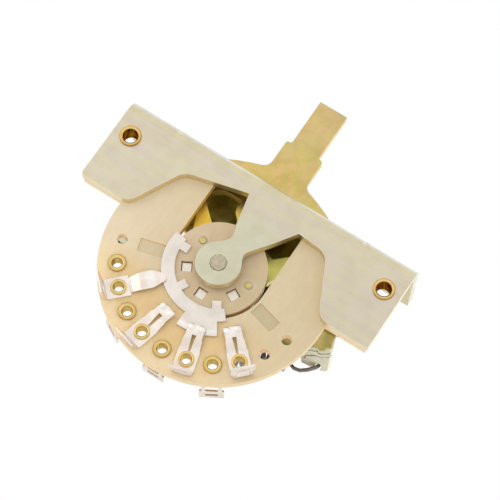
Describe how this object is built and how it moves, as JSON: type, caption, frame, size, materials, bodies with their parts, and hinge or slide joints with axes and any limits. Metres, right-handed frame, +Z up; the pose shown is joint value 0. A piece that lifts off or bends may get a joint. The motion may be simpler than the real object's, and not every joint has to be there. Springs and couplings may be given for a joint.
{
  "type": "lever selector switch",
  "caption": "Open-frame lever selector switch for an electric guitar: folded steel bracket, detented lever, contact wafer with rotor, clips and solder lugs.",
  "frame": {"origin": "middle of the bracket's mounting face, between the two mounting screws and over the lever's pivot", "axes": "+Z up along the lever in its middle position, +X along the bracket, +Y from the contact wafer's front towards the detent spring"},
  "size_m": [0.0534, 0.0235, 0.0537],
  "materials": {
    "bracket_steel": "bright zinc plate with a faint rainbow passivation",
    "yellow_steel": "yellow zinc plate",
    "phenolic": "cream laminated phenolic, punched",
    "silver_plate": "silver-plated spring bronze, satin",
    "brass": "plain brass, rolled",
    "turned_steel": "turned steel, zinc plated",
    "spring_steel": "dark music wire"
  },
  "bodies": {
    "frame": {"bracket": "bracket_steel", "rear_plate": "yellow_steel", "wafer": "phenolic", "ear_eyelet_left": "brass", "ear_eyelet_right": "brass", "front_common_clip": "silver_plate", "front_clip_left": "silver_plate", "front_clip_middle": "silver_plate", "front_clip_right": "silver_plate", "back_common_clip": "silver_plate", "back_clip_left": "silver_plate", "back_clip_middle": "silver_plate", "back_clip_right": "silver_plate", "front_common_eyelet": "brass", "front_eyelet_left": "brass", "front_eyelet_middle": "brass", "front_eyelet_right": "brass", "back_common_eyelet": "brass", "back_eyelet_left": "brass", "back_eyelet_middle": "brass", "back_eyelet_right": "brass", "detent_spring": "spring_steel", "detent_roller": "turned_steel"},
    "lever": {"lever": "yellow_steel", "shaft": "turned_steel", "rotor": "phenolic", "front_blade": "silver_plate", "back_blade": "silver_plate", "detent_cam": "turned_steel"}
  },
  "joints": [
    {"name": "lever_turn", "type": "hinge", "parent": "frame", "child": "lever", "pos_m": [0, 0, -0.0166], "axis": [0, 1, 0], "range_deg": [-30, 30]}
  ]
}
